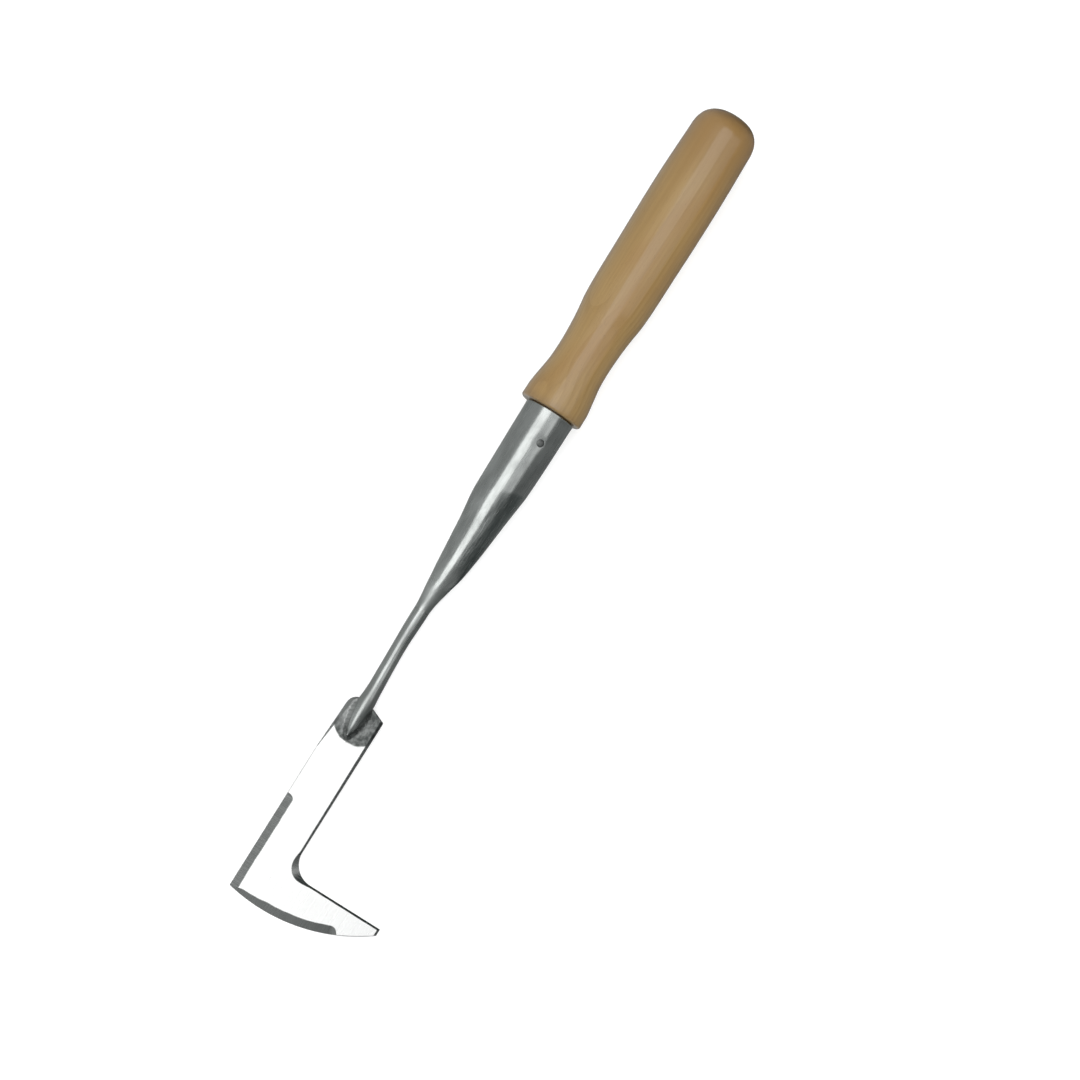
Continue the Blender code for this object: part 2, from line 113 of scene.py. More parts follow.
# Socket
SOCKET_MOUTH = -0.0003
SOCKET_END = -0.0785
SOCKET_WALL = 0.0012
SOCKET_LIP = 0.0004
SOCKET_SEGMENTS = 128
SOCKET_LIP_STEPS = 4
SOCKET_OUTER_STEPS = 130
SOCKET_INNER_STEPS = 40
SOCKET_OUTLINE = (
    (0.0000, 0.01035),
    (-0.0030, 0.01022),
    (-0.0150, 0.01010),
    (-0.0360, 0.00966),
    (-0.0385, 0.00947),
    (-0.0410, 0.00920),
    (-0.0460, 0.00860),
    (-0.0520, 0.00795),
    (-0.0590, 0.00732),
    (-0.0660, 0.00660),
    (-0.0730, 0.00578),
    (-0.0785, 0.00480),
)
# The line where the tube starts to taper runs askew: further down on the side away from the foot
CREASE_PLACE = -0.0385
CREASE_SLANT = 0.36
CREASE_REACH = 0.0190

# Pin
PIN_PLACE = -0.0132
PIN_TURN = math.radians(18.0)
PIN_RADIUS = 0.0015
PIN_BORE = 0.00157
PIN_DEPTH = 0.0080
PIN_SUNK = 0.00030
PIN_SEGMENTS = 48
PIN_DOME = 0.00025
PIN_DOME_SHOULDER = (0.55, 0.7)
PIN_CHAMFER = 0.0002
PIN_SOFT_EDGE = 0.00006
PIN_HOLE_CUT = 0.006
PIN_DENT = 0.00025
PIN_DENT_RADIUS = 0.0024

# Shank and its tongue
SHANK_START = -0.0690
SHANK_OUTLINE = (
    (-0.0690, 0.00285),
    (-0.0860, 0.00288),
    (-0.0905, 0.00310),
    (-0.0980, 0.00302),
    (-0.1080, 0.00280),
    (-0.1180, 0.00288),
    (-0.1270, 0.00308),
    (-0.1320, 0.00345),
    (-0.1380, 0.00290),
    (-0.1430, 0.00200),
    (-0.1465, 0.00070),
)
TONGUE_START = -0.1255
TONGUE_FLAT = -0.1306
TONGUE_END = -0.1465
TONGUE_TIP_HEIGHT = 0.0008
TONGUE_NOSE = (TONGUE_END - 0.0001, 0.0, 0.0003)
SHANK_SEGMENTS = 48
SHANK_STEPS = 70
TONGUE_FORGING_STEPS = 8
TONGUE_STEPS = 26
# Sideways run of the socket's and shank's centre line (positive is away from the foot)
CENTRE_LINE = (
    (0.0000, -0.00030),
    (-0.0360, -0.00030),
    (-0.0500, -0.00010),
    (-0.0660, 0.00005),
    (-0.0740, 0.00030),
    (-0.0810, 0.00080),
    (-0.0880, 0.00110),
    (-0.1040, 0.00120),
    (-0.1170, 0.00080),
    (-0.1250, 0.00045),
    (-0.1330, 0.00030),
    (-0.1460, 0.0),
)

# Ring weld
RING_WELD_END = -0.0925
RING_WELD_OUTLINE = (
    (-0.0784, 0.00481),
    (-0.0800, 0.00457),
    (-0.0820, 0.00424),
    (-0.0845, 0.00379),
    (-0.0870, 0.00342),
    (-0.0895, 0.00319),
    (-0.0925, 0.00305),
)
RING_WELD_TOP = RING_WELD_OUTLINE[0][0]
RING_WELD_BORE = 0.0026
RING_WELD_FADE = 0.002
RING_WELD_STEPS = 40
RING_WELD_SEGMENTS = 96

# Blade
BLADE_FRONT = -0.0003
BLADE_BACK = -0.0023
LEG_OUTER = 0.0076
LEG_INNER = -0.0094
LEG_TOP_OUTER = (-0.1316, 0.0030)
LEG_TOP_INNER = (-0.1328, -0.0034)
OUTER_SHOULDER = (-0.1360, 0.0069)
INNER_SHOULDER = (-0.1353, LEG_INNER)
FOOT_INNER_EDGE = -0.2025
FOOT_TIP = -0.0500
THROAT_RADIUS = 0.0092
THROAT_STEPS = 36
SHOULDER_STEPS = 24
EDGE_ARC_RADIUS = 0.0710
EDGE_ARC_CENTRE = (-0.1489, -0.0069)
SIDE_GRIND_TOP = -0.1788
SIDE_GRIND_RUNOUT = 0.0020
EDGE_GRIND_END = -0.0370
EDGE_GRIND_FULL = -0.0345
EDGE_GRIND_CORNER = -0.0085
WORN_EDGE_END = -0.1560
SCALE_END = -0.1486
SOFT_EDGE = 0.00008
# Corners that turn more than this (as a sine) get a mitre
SHARP_TURN = 0.25
# Unevenness of a bevel's width: its share, and its waves per metre
BEVEL_UNEVEN = 0.06
BEVEL_WAVES = 300.0
# Places closer than this share a vertex
SAME_PLACE = 1e-7

# Bevels round the blade: width on the face, and height of the edge left below it
PLAIN_EDGE = (0.0003, 0.0017)
FINE_EDGE = (0.00012, 0.00188)
WORN_EDGE = (0.0018, 0.0011)
LEG_BEVEL = (0.0012, 0.0010)
SLIM_BEVEL = (0.0008, 0.0012)
THROAT_BEVEL = (0.0029, 0.0006)
TIP_BEVEL = (0.0008, 0.0011)
GROUND_BEVEL = (0.0033, 0.0004)
CORNER_BEVEL = (0.0014, 0.0006)
FACE, SIDE_GRIND, END_GRIND = range(3)

# Fillet weld
FILLET_WELD_START = -0.1335
FILLET_WELD_SIDE_END = TONGUE_END + 0.0008
FILLET_WELD_TIP = TONGUE_END + 0.0004
FILLET_WELD_TIP_REACH = 0.0006
FILLET_WELD_TIP_TURNS = (math.radians(35.0), math.radians(145.0))
FILLET_WELD_WIDTH = 0.0019
FILLET_WELD_HEIGHT = 0.0015
FILLET_WELD_LEAN = -0.35
FILLET_WELD_SINK = 0.0003
FILLET_WELD_ROOT = 0.0002
FILLET_WELD_STEPS = 56
FILLET_WELD_TIP_STEPS = 8
FILLET_WELD_END_STEPS = 5.0
FILLET_WELD_SECTION_STEPS = 12

# Colours of the steels
BRIGHT_STEEL = (0.54, 0.56, 0.55)
DRESSED_STEEL = (0.55, 0.57, 0.56)
NAIL_STEEL = (0.30, 0.31, 0.305)
FACE_STEEL = (0.93, 0.93, 0.925)
GRIND_STEEL = (0.45, 0.46, 0.455)

# Picture: its width where the tool lies, and the camera's lens, aim and turn
PICTURE_SPAN = 0.4139
LENS = 200.0
SENSOR = 36.0
PICTURE_CENTRE = Vector((-0.0438, -0.02285, 0.0))
AXIS_TURN = math.radians(57.92)
CAMERA_TILT = math.radians(5.5)
CAMERA_REACH = 20.0

# Directions in the tool's frame, from which the room lights it
LEFT_WALL = (-0.45, 0.89, 0.0)
FOOT_SIDE = (0.0, -1.0, 0.0)
HANDLEWARD = (1.0, 0.0, 0.0)
BLADEWARD = (-1.0, 0.0, 0.0)

# Floor and backdrop; the lights' reach on the floor ends between the two distances
STAGE_RADIUS = 3.2
FLOOR_DROP = 0.0002
FLOOR_LIT = 0.8
FLOOR_UNLIT = 2.0
FLOOR_GLOW = 0.55
BACKDROP_GLOW = 1.0


def tool_frame():
    """Matrix of the tool's own frame, from the mount on the blade's back."""
    mounts = {mount["name"]: mount for mount in frame["record"]["mounts"]}
    back = mounts["blade_back"]
    up = -Vector(back["axis"]).normalized()
    across = Vector((0.0, 1.0, 0.0))
    along = across.cross(up)
    turn = Matrix((along, across, up)).transposed()
    place = Vector(back["pos_m"]) - turn @ BACK_MOUNT
    return Matrix.Translation(place) @ turn.to_4x4()


TOOL = tool_frame()


# Shapes


def curve_slope(ordered, index):
    """Slope of the smooth curve at one of its points."""
    before = ordered[max(index - 1, 0)]
    after = ordered[min(index + 1, len(ordered) - 1)]
    return (after[1] - before[1]) / (after[0] - before[0])


def smooth_value(points, place):
    """Value at a place on the smooth curve through (place, value) points."""
    ordered = sorted(points)
    place = min(max(place, ordered[0][0]), ordered[-1][0])
    index = 0
    while index < len(ordered) - 2 and place > ordered[index + 1][0]:
        index += 1
    start, end = ordered[index], ordered[index + 1]
    span = end[0] - start[0]
    t = (place - start[0]) / span
    slope_in = curve_slope(ordered, index) * span
    slope_out = curve_slope(ordered, index + 1) * span
    blend = 3.0 * t * t - 2.0 * t * t * t
    rise = t * (1.0 - t) * (1.0 - t)
    fall = t * t * (t - 1.0)
    return start[1] * (1.0 - blend) + end[1] * blend + slope_in * rise + slope_out * fall


def traced(outline, places):
    """(place, value) pairs of the smooth curve at some places."""
    return [(place, smooth_value(outline, place)) for place in places]


def spaced(start, end, steps):
    """Evenly spaced values from start to end, both included."""
    return [start + (end - start) * index / steps for index in range(steps + 1)]


def centre_y(x):
    """Sideways place of the socket's and shank's centre line."""
    return smooth_value(CENTRE_LINE, x)


def add_object(name, data):
    """New object in the scene."""
    made = bpy.data.objects.new(name, data)
    bpy.context.scene.collection.objects.link(made)
    return made


def plain_mesh(name, shape, finishes):
    """Mesh with its materials from a bmesh, which is freed."""
    mesh = bpy.data.meshes.new(name)
    shape.to_mesh(mesh)
    shape.free()
    for finish in finishes:
        mesh.materials.append(finish)
    return mesh


def new_piece(name, shape, finishes, smooth_angle=PIECE_SMOOTH_ANGLE):
    """Named object in the tool's frame from a bmesh, smooth where its faces meet gently."""
    bmesh.ops.recalc_face_normals(shape, faces=shape.faces)
    mesh = plain_mesh(name, shape, finishes)
    mesh.shade_smooth()
    mesh.set_sharp_from_angle(angle=math.radians(smooth_angle))
    mesh.transform(TOOL)
    return add_object(name, mesh)


def ring_skin(shape, rings, close=False):
    """Quads between rings of points; close joins the last ring to the first."""
    made = [[shape.verts.new(point) for point in ring] for ring in rings]
    pairs = list(zip(made, made[1:]))
    if close:
        pairs.append((made[-1], made[0]))
    for ring, following in pairs:
        for index, corner in enumerate(ring):
            after = (index + 1) % len(ring)
            shape.faces.new((corner, ring[after], following[after], following[index]))
    return made


def cap(shape, ring, centre):
    """Fan of triangles that closes a ring."""
    middle = shape.verts.new(centre)
    for index, corner in enumerate(ring):
        shape.faces.new((corner, ring[(index + 1) % len(ring)], middle))


def round_ring(x, radius, segments, wobble=None, offset=0.0):
    """Ring of points round the X axis."""
    ring = []
    for index in range(segments):
        turn = math.tau * index / segments
        reach = radius - (wobble(x, turn) if wobble else 0.0)
        ring.append((x, offset + reach * math.cos(turn), reach * math.sin(turn)))
    return ring


def tube_rings(outer, inner, segments, wobble):
    """Rings round the centre line at (x, radius) places, uneven on the outside only."""
    places = [(place, wobble) for place in outer] + [(place, None) for place in inner]
    return [round_ring(x, radius, segments, uneven, centre_y(x)) for (x, radius), uneven in places]


def ripple(x, turn, length, round_scale, depth):
    """Smooth unevenness from 0 to depth over a round surface."""
    spot = Vector((x / length, round_scale * math.cos(turn), round_scale * math.sin(turn)))
    return depth * (0.5 + 0.5 * noise.noise(spot))


def handle_wobble(x, turn):
    """Hand-sanded unevenness of the turned grip."""
    if x < 0.0:
        return 0.0
    broad = ripple(x, turn, length=0.018, round_scale=1.3, depth=0.00012)
    fine = ripple(x, turn, length=0.006, round_scale=3.0, depth=0.00003)
    return min(x / WOBBLE_START, 1.0) * (broad + fine)


def tenon_shift(x, radius):
    """Sideways shift of the tenon, which follows the socket; none on the handle itself."""
    return centre_y(x) if x <= 0.0 and radius < socket_radius(0.0) else 0.0


def handle_profile():
    """(x, radius) of the crown, grip, rounded rim, shoulder and tenon."""
    depth = HANDLE_TOP - CROWN_START
    power = 2.0 / CROWN_POWER
    profile = []
    for radius in LATHE_MARK_RINGS:
        drop = LATHE_MARK_DEPTH * max(0.0, 1.0 - (radius / LATHE_MARK_RADIUS) ** 2)
        flat = (1.0 - (radius / CROWN_RADIUS) ** CROWN_POWER) ** (1.0 / CROWN_POWER)
        profile.append((CROWN_START + depth * flat - drop, radius))
    for turn in spaced(CROWN_RIM_TURN, math.radians(90.0), CROWN_STEPS)[:-1]:
        radius = CROWN_RADIUS * math.sin(turn) ** power
        profile.append((CROWN_START + depth * math.cos(turn) ** power, radius))
    grip_end, grip_end_radius = GRIP_OUTLINE[-1]
    profile += traced(GRIP_OUTLINE, spaced(CROWN_START, grip_end, GRIP_STEPS))
    for drop in spaced(0.0, math.radians(90.0), HANDLE_RIM_STEPS)[1:]:
        x = HANDLE_RIM * (1.0 - math.sin(drop))
        profile.append((x, grip_end_radius - HANDLE_RIM * (1.0 - math.cos(drop))))
    profile += [(0.0, TENON_RADIUS + TENON_SHOULDER), (0.0, TENON_RADIUS)]
    profile.append((TENON_TAPER_START, TENON_RADIUS - TENON_TAPER_DROP))
    taper_end = socket_radius(TENON_END - TENON_FIT_BELOW) - SOCKET_WALL - TENON_CLEARANCE
    profile.append((TENON_END, taper_end))
    return profile


def make_handle(finish):
    """Turned handle with its crown, waist, collar and tenon."""
    shape = bmesh.new()
    profile = handle_profile()
    rings = [
        round_ring(x, radius, HANDLE_SEGMENTS, handle_wobble, tenon_shift(x, radius))
        for x, radius in profile
    ]
    made = ring_skin(shape, rings)
    cap(shape, made[0], (profile[0][0] - LATHE_MARK_TIP, 0.0, 0.0))
    cap(shape, made[-1], (TENON_END, centre_y(TENON_END), 0.0))
    return new_piece("handle_turned", shape, [finish])


def socket_radius(x):
    """Outer radius of the socket at x."""
    return smooth_value(SOCKET_OUTLINE, x)


def socket_wobble(x, turn):
    """Slight unevenness of the drawn tube and the dent that the pin was staked in."""
    uneven = ripple(x, turn, length=0.022, round_scale=1.1, depth=0.00008)
    around = (turn - (0.5 * math.pi + PIN_TURN)) * socket_radius(x)
    away = math.hypot(x - PIN_PLACE, around)
    return uneven + PIN_DENT * math.exp(-((away / PIN_DENT_RADIUS) ** 2))


def slanted(ring):
    """Ring of the socket with its points slid along the tube, so that the crease runs askew."""
    slid = []
    for x, y, z in ring:
        near = max(0.0, 1.0 - abs(x - CREASE_PLACE) / CREASE_REACH)
        slid.append((x - CREASE_SLANT * y * near * near * (3.0 - 2.0 * near), y, z))
    return slid


def socket_profile():
    """(x, radius) down the outside from the rounded mouth, and back up the inside."""
    outer = []
    for drop in spaced(0.0, math.radians(90.0), SOCKET_LIP_STEPS):
        x = SOCKET_MOUTH - SOCKET_LIP * (1.0 - math.cos(drop))
        outer.append((x, socket_radius(x) - SOCKET_LIP * (1.0 - math.sin(drop))))
    below_lip = spaced(SOCKET_MOUTH - SOCKET_LIP, SOCKET_END, SOCKET_OUTER_STEPS)[1:]
    outer += traced(SOCKET_OUTLINE, below_lip)
    upward = spaced(SOCKET_END, SOCKET_MOUTH, SOCKET_INNER_STEPS)
    return outer, [(x, socket_radius(x) - SOCKET_WALL) for x in upward]


def make_socket(finish):
    """Tapered tube with a rounded mouth, real wall and the pin's hole."""
    rings = tube_rings(*socket_profile(), SOCKET_SEGMENTS, socket_wobble)
    shape = bmesh.new()
    ring_skin(shape, [slanted(ring) for ring in rings], close=True)
    socket = new_piece("socket_tube", shape, [finish])
    cutter = upright_bar("pin_hole_cutter", PIN_BORE, PIN_HOLE_CUT, finish)
    place_on_pin_line(cutter, socket_radius(PIN_PLACE))
    apply_cut(socket, cutter)
    return socket


def upright_bar(name, radius, length, finish, dome=0.0):
    """Round bar about its own Z axis with a domed, softened top."""
    shape = bmesh.new()
    top = 0.5 * length
    profile = [(-top, radius), (top - PIN_CHAMFER, radius)]
    profile += [(top - PIN_SOFT_EDGE, radius - PIN_SOFT_EDGE), (top, radius - PIN_CHAMFER)]
    shoulder_reach, shoulder_rise = PIN_DOME_SHOULDER
    profile.append((top + shoulder_rise * dome, shoulder_reach * radius))
    lying = [round_ring(height, reach, PIN_SEGMENTS) for height, reach in profile]
    made = ring_skin(shape, [[(y, z, x) for x, y, z in ring] for ring in lying])
    cap(shape, made[0], (0.0, 0.0, -top))
    cap(shape, made[-1], (0.0, 0.0, top + dome))
    return new_piece(name, shape, [finish])


def place_on_pin_line(bar, distance):
    """Put a bar's centre on the pin's line, a distance out from the tool's axis."""
    out = Vector((0.0, -math.sin(PIN_TURN), math.cos(PIN_TURN)))
    spot = Vector((PIN_PLACE, centre_y(PIN_PLACE), 0.0)) + out * distance
    place = Matrix.Translation(spot) @ Matrix.Rotation(PIN_TURN, 4, "X")
    bar.data.transform(TOOL @ place @ TOOL.inverted())


def apply_cut(piece, cutter):
    """Cut a piece and bake the result into its mesh."""
    modifier = piece.modifiers.new("cut", "BOOLEAN")
    modifier.operation = "DIFFERENCE"
    modifier.solver = "EXACT"
    modifier.object = cutter
    bpy.context.view_layer.update()
    evaluated = piece.evaluated_get(bpy.context.evaluated_depsgraph_get())
    mesh = bpy.data.meshes.new_from_object(evaluated)
    piece.modifiers.clear()
    piece.data = mesh
    mesh.set_sharp_from_angle(angle=math.radians(PIECE_SMOOTH_ANGLE))
    bpy.data.objects.remove(cutter, do_unlink=True)


def make_pin(finish):
    """Pin, its domed head a little below the socket's surface."""
    pin = upright_bar("socket_pin_nail", PIN_RADIUS, PIN_DEPTH, finish, PIN_DOME)
    place_on_pin_line(pin, socket_radius(PIN_PLACE) - PIN_SUNK - 0.5 * PIN_DEPTH)
    return pin


def shank_section(x):
    """Half width, height above the axis and depth below it at x."""
    radius = smooth_value(SHANK_OUTLINE, x)
    if x > TONGUE_START:
        return radius, radius, radius
    flat = min((TONGUE_START - x) / (TONGUE_START - TONGUE_FLAT), 1.0)
    fade = max((TONGUE_FLAT - x) / (TONGUE_FLAT - TONGUE_END), 0.0)
    full = smooth_value(SHANK_OUTLINE, TONGUE_FLAT)
    height = full * math.sqrt(1.0 - fade * fade) if fade else radius
    return radius, max(height, TONGUE_TIP_HEIGHT), radius * (1.0 - flat)


def make_shank(finish):
    """Round bar, slightly bowed, forged to a half-round tongue on the blade."""
    rings = []
    places = spaced(SHANK_START, TONGUE_START, SHANK_STEPS)
    places += spaced(TONGUE_START, TONGUE_FLAT, TONGUE_FORGING_STEPS)[1:]
    places += spaced(TONGUE_FLAT, TONGUE_END, TONGUE_STEPS)[1:]
    for x in places:
        width, height, depth = shank_section(x)
        ring = []
        for index in range(SHANK_SEGMENTS):
            turn = math.tau * index / SHANK_SEGMENTS
            reach = 1.0 - ripple(x, turn, length=0.009, round_scale=1.0, depth=0.02)
            rise = math.sin(turn)
            z = reach * rise * (height if rise > 0.0 else depth)
            ring.append((x, centre_y(x) + reach * width * math.cos(turn), z))
        rings.append(ring)
    shape = bmesh.new()
    made = ring_skin(shape, rings)
    cap(shape, made[0], (SHANK_START, centre_y(SHANK_START), 0.0))
    cap(shape, made[-1], TONGUE_NOSE)
    return new_piece("shank_bar", shape, [finish], smooth_angle=50.0)


def make_ring_weld(finish):
    """Dressed ring weld that runs from the socket's small end down onto the shank."""
    places = spaced(RING_WELD_TOP, RING_WELD_END, RING_WELD_STEPS)
    outer = traced(RING_WELD_OUTLINE, places)
    inner = [(RING_WELD_END, RING_WELD_BORE), (RING_WELD_TOP, RING_WELD_BORE)]
    rings = tube_rings(outer, inner, RING_WELD_SEGMENTS, ring_weld_wobble)
    shape = bmesh.new()
    ring_skin(shape, rings, close=True)
    return new_piece("socket_weld_ring", shape, [finish], smooth_angle=60.0)


def ring_weld_wobble(x, turn):
    """Faint ripples left after the weld was dressed."""
    fade = min((RING_WELD_TOP - x) / RING_WELD_FADE, (x - RING_WELD_END) / RING_WELD_FADE, 1.0)
    return ripple(x, turn, length=0.0022, round_scale=1.5, depth=0.00008 * fade)


def between(first, second, share):
    """Place or bevel between two others."""
    return tuple(a + (b - a) * share for a, b in zip(first, second))


def even(t):
    """Bevel that changes evenly along its stretch."""
    return t


def rounded_start(t):
    """Bevel that begins with a rounded end."""
    return math.sqrt(t * (2.0 - t))


def rounded_end(t):
    """Bevel that stops with a rounded end."""
    return 1.0 - math.sqrt(1.0 - t * t)


def run_curve(place, steps, bevel_start, bevel_end, change=even):
    """Stretch of outline whose place is a function of t, with its bevel at each point."""
    return [
        (place(t), between(bevel_start, bevel_end, change(t))) for t in spaced(0.0, 1.0, steps)
    ]


def run_line(start, end, steps, *bevels):
    """Straight stretch of the blade's outline."""
    return run_curve(lambda t: between(start, end, t), steps, *bevels)


def arc_point(centre, radius, turn):
    """Point on a circle in the blade's plane, turned from -X toward -Y."""
    return (centre[0] - radius * math.cos(turn), centre[1] - radius * math.sin(turn))


def edge_arc_turn(y):
    """Turn on the curved cutting edge at which it reaches y."""
    return math.asin((EDGE_ARC_CENTRE[1] - y) / EDGE_ARC_RADIUS)


def throat_run():
    """Inside corner between the leg and the foot, with its bevel widest in the middle."""
    centre = (FOOT_INNER_EDGE + THROAT_RADIUS, LEG_INNER - THROAT_RADIUS)
    return run_curve(
        lambda t: arc_point(centre, THROAT_RADIUS, -0.5 * math.pi * (1.0 - t)),
        THROAT_STEPS,
        SLIM_BEVEL,
        THROAT_BEVEL,
        lambda t: math.sin(math.pi * t) ** 1.5,
    )


def cutting_edge_run(y_start, y_end, steps, *bevels):
    """Stretch of the curved cutting edge."""
    start = edge_arc_turn(y_start)
    end = edge_arc_turn(y_end)
    return run_curve(
        lambda t: arc_point(EDGE_ARC_CENTRE, EDGE_ARC_RADIUS, start + (end - start) * t),
        steps,
        *bevels,
    )


def shoulder_run():
    """Rounded outer shoulder at the top of the leg."""
    low, high = Vector(OUTER_SHOULDER), Vector(LEG_TOP_OUTER)
    return run_curve(
        lambda t: (
            low.x + (high.x - low.x) * math.sin(0.5 * math.pi * t),
            high.y + (low.y - high.y) * math.cos(0.5 * math.pi * t),
        ),
        SHOULDER_STEPS,
        WORN_EDGE,
        PLAIN_EDGE,
    )


def blade_runs():
    """Outline of the blade as stretches that meet at its corners, with each one's finish."""
    throat_start = (FOOT_INNER_EDGE + THROAT_RADIUS, LEG_INNER)
    throat_end = (FOOT_INNER_EDGE, LEG_INNER - THROAT_RADIUS)
    tip_inner = (FOOT_INNER_EDGE, FOOT_TIP)
    tip_outer = arc_point(EDGE_ARC_CENTRE, EDGE_ARC_RADIUS, edge_arc_turn(FOOT_TIP))
    outer_corner = arc_point(EDGE_ARC_CENTRE, EDGE_ARC_RADIUS, edge_arc_turn(LEG_OUTER))
    grind_top = (SIDE_GRIND_TOP, LEG_OUTER)
    grind_end = (SIDE_GRIND_TOP + SIDE_GRIND_RUNOUT, LEG_OUTER)
    worn_end = (WORN_EDGE_END, LEG_OUTER)
    ground, plain, fine = GROUND_BEVEL, PLAIN_EDGE, FINE_EDGE
    return [
        (run_line(LEG_TOP_OUTER, LEG_TOP_INNER, 4, plain, plain), FACE),
        (run_line(LEG_TOP_INNER, INNER_SHOULDER, 4, plain, plain), FACE),
        (run_line(INNER_SHOULDER, throat_start, 60, LEG_BEVEL, SLIM_BEVEL), SIDE_GRIND),
        (throat_run(), SIDE_GRIND),
        (run_line(throat_end, tip_inner, 30, SLIM_BEVEL, TIP_BEVEL), END_GRIND),
        (run_line(tip_inner, tip_outer, 2, TIP_BEVEL, TIP_BEVEL), SIDE_GRIND),
        (cutting_edge_run(FOOT_TIP, EDGE_GRIND_END, 24, fine, fine), FACE),
        (cutting_edge_run(EDGE_GRIND_END, EDGE_GRIND_FULL, 24, fine, ground, rounded_start), END_GRIND),
        (cutting_edge_run(EDGE_GRIND_FULL, EDGE_GRIND_CORNER, 60, ground, ground), END_GRIND),
        (cutting_edge_run(EDGE_GRIND_CORNER, LEG_OUTER, 36, ground, CORNER_BEVEL), END_GRIND),
        (run_line(outer_corner, grind_top, 45, ground, ground), SIDE_GRIND),
        (run_line(grind_top, grind_end, 24, ground, fine, rounded_end), SIDE_GRIND),
        (run_line(grind_end, worn_end, 24, fine, fine), FACE),
        (run_line(worn_end, OUTER_SHOULDER, 40, fine, WORN_EDGE), SIDE_GRIND),
        (shoulder_run(), FACE),
    ]


def outline_corners(runs):
    """Corners in order: place, bevel width before and after, edge height and finish."""
    corners = []
    for index, (run, finish) in enumerate(runs):
        (place, (width, height)) = run[0]
        (_, (width_before, height_before)) = runs[index - 1][0][-1]
        corners.append((place, width_before, width, min(height, height_before), finish))
        for place, (width, height) in run[1:-1]:
            spot = Vector((place[0] * BEVEL_WAVES, place[1] * BEVEL_WAVES, 0.0))
            width *= 1.0 + BEVEL_UNEVEN * noise.noise(spot)
            corners.append((place, width, width, height, finish))
    return corners


def outward(start, end):
    """Unit normal of an outline edge, on its left, outside the clockwise outline."""
    along = (Vector(end) - Vector(start)).normalized()
    return Vector((-along.y, along.x))


def cross(first, second):
    """Signed area between two directions in the blade's plane."""
    return first.x * second.y - first.y * second.x


def corner_normals(corners, index):
    """Outward normals of the outline before and after a corner."""
    place = corners[index][0]
    before = outward(corners[index - 1][0], place)
    after = outward(place, corners[(index + 1) % len(corners)][0])
    return before, after


def inset_place(corners, index, share, reach):
    """Place in from a corner by a share of the bevels that meet there and a reach."""
    place, width_before, width_after = corners[index][:3]
    width_before = share * width_before + reach
    width_after = share * width_after + reach
    before, after = corner_normals(corners, index)
    turn = cross(before, after)
    if abs(turn) < SHARP_TURN:
        middle = (before + after).normalized()
        return Vector(place) - middle * 0.5 * (width_before + width_after)
    x = (-width_before * after.y + width_after * before.y) / turn
    y = (-width_after * before.x + width_before * after.x) / turn
    return Vector(place) + Vector((x, y))


def inset_ring(corners, share, reach):
    """Places in from the whole outline, cut off along the mitre of each sharp corner."""
    spots = [inset_place(corners, index, share, reach) for index in range(len(corners))]
    for index in range(len(corners)):
        if abs(cross(*corner_normals(corners, index))) >= SHARP_TURN:
            trim_at_mitre(corners, spots, index, 1)
            trim_at_mitre(corners, spots, index, -1)
    return spots


def trim_at_mitre(corners, spots, index, step):
    """Pull the places that lie beyond a corner's mitre back to the corner's own."""
    count = len(corners)
    corner = Vector(corners[index][0])
    number = (index + step) % count
    mitre = spots[index] - corner
    side = cross(mitre, Vector(corners[number][0]) - corner)
    while cross(mitre, spots[number] - corner) * side < 0.0:
        spots[number] = spots[index]
        number = (number + step) % count


def blade_rings(corners):
    """Places and heights from the back's rim, up the edge and the bevel, to the face."""
    soft = SOFT_EDGE
    edges = [BLADE_BACK + corner[3] for corner in corners]
    slopes = []
    for corner, edge in zip(corners, edges):
        slopes.append(2.0 * (BLADE_FRONT - edge) / (corner[1] + corner[2]))
    outline = [Vector(corner[0]) for corner in corners]
    return [
        (inset_ring(corners, 0.0, soft), [BLADE_BACK for _ in corners]),
        (outline, [BLADE_BACK + soft for _ in corners]),
        (outline, [edge - soft for edge in edges]),
        (inset_ring(corners, 0.0, soft), [edge + soft * run for edge, run in zip(edges, slopes)]),
        (inset_ring(corners, 1.0, -soft), [BLADE_FRONT - soft * run for run in slopes]),
        (inset_ring(corners, 1.0, soft), [BLADE_FRONT for _ in corners]),
    ]


def ring_corners(shape, places, heights):
    """Vertices of a ring; neighbours that fall together share one."""
    made = []
    for index, (place, height) in enumerate(zip(places, heights)):
        if index and (place - places[index - 1]).length < SAME_PLACE:
            made.append(made[-1])
        else:
            made.append(shape.verts.new((*place, height)))
    return made


def without_repeats(corners):
    """Corners of a face, each one once."""
    return list(dict.fromkeys(corners))


def make_blade(finishes):
    """L-shaped plate with ground bevels; its faces carry the face's or a bevel's finish."""
    corners = outline_corners(blade_runs())
    shape = bmesh.new()
    rings = [ring_corners(shape, *ring) for ring in blade_rings(corners)]
    for low, high in zip(rings, rings[1:]):
        for index, corner in enumerate(corners):
            after = (index + 1) % len(corners)
            outline = without_repeats((low[index], low[after], high[after], high[index]))
            if len(outline) > 2:
                strip = shape.faces.new(outline)
                strip.material_index = corner[4] if low is not rings[0] else FACE
    flats = [shape.faces.new(without_repeats(ring)) for ring in (rings[0], rings[-1])]
    bmesh.ops.triangulate(shape, faces=flats, ngon_method="BEAUTY")
    return new_piece("blade_plate", shape, finishes, smooth_angle=9.0)


def weld_side(x, side):
    """Place of the bead beside the tongue, at its +Y (1.0) or -Y (-1.0), and the way out."""
    spot = Vector((x, side * (shank_section(x)[0] - FILLET_WELD_SINK)))
    return spot, Vector((FILLET_WELD_LEAN, side)).normalized()


